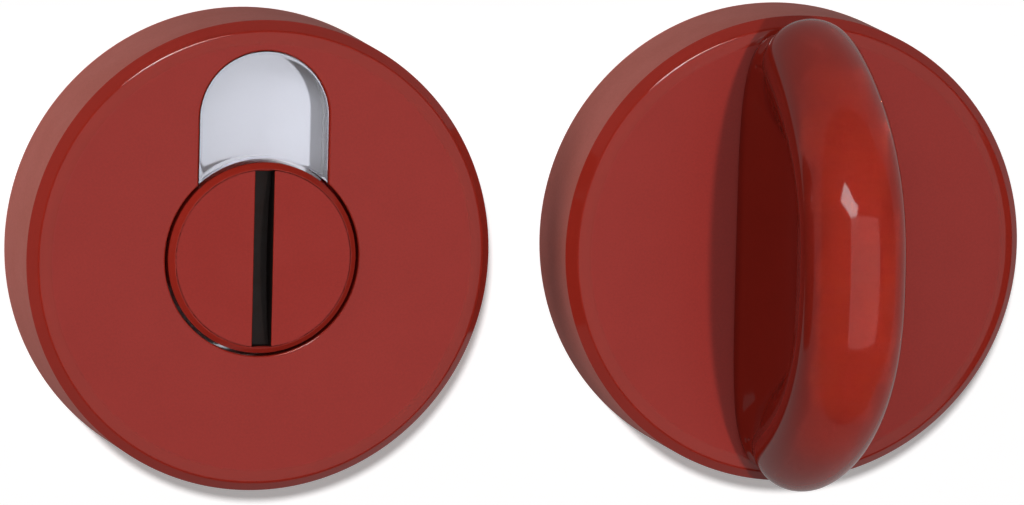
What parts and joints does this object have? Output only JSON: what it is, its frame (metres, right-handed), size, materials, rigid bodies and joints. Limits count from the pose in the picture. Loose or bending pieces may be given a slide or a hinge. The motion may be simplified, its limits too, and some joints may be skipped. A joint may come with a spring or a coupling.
{
  "type": "bathroom thumb turn lock",
  "caption": "Bathroom lock set of round red nylon roses: one with indicator window and coin release, one with an arched thumb turn, lying side by side.",
  "frame": {"origin": "on the roses' common back plane, midway between their axes", "axes": "+Z out of the roses' faces, +X from the outside rose with the window to the inside rose with the thumb turn, +Y towards the window's round end"},
  "size_m": [0.119, 0.0554, 0.0428],
  "materials": {
    "red_nylon": "satin face, glossy edges",
    "clear_acrylic": "polished, clear",
    "white_plastic": "satin",
    "red_insert": "satin",
    "steel": "machined, zinc plated",
    "spring_steel": "oiled",
    "grey_nylon": "moulded",
    "bearing_plastic": "moulded",
    "brass": "machined"
  },
  "bodies": {
    "roses": {"release_cover": "red_nylon", "indicator_window": "clear_acrylic", "release_base_plate": "grey_nylon", "release_bush": "bearing_plastic", "release_wave_spring": "spring_steel", "release_thrust_washer": "bearing_plastic", "threaded_inserts": "brass", "turn_cover": "red_nylon", "turn_base_plate": "grey_nylon", "turn_bush": "bearing_plastic", "turn_wave_spring": "spring_steel", "turn_thrust_washer": "bearing_plastic", "screw_eyelets": "steel"},
    "coin_release": {"release_turn": "red_nylon", "indicator_disc": "white_plastic", "engaged_insert": "red_insert", "release_core": "steel", "release_circlip": "spring_steel"},
    "turn": {"thumb_turn": "red_nylon", "turn_core": "steel", "turn_circlip": "spring_steel"}
  },
  "joints": [
    {"name": "coin_release_turn", "type": "hinge", "parent": "roses", "child": "coin_release", "pos_m": [-0.032, 0, 0], "axis": [0, 0, 1], "range_deg": [0, 90]},
    {"name": "thumb_turn_turn", "type": "hinge", "parent": "roses", "child": "turn", "pos_m": [0.032, 0, 0], "axis": [0, 0, 1], "range_deg": [-90, 0]}
  ]
}
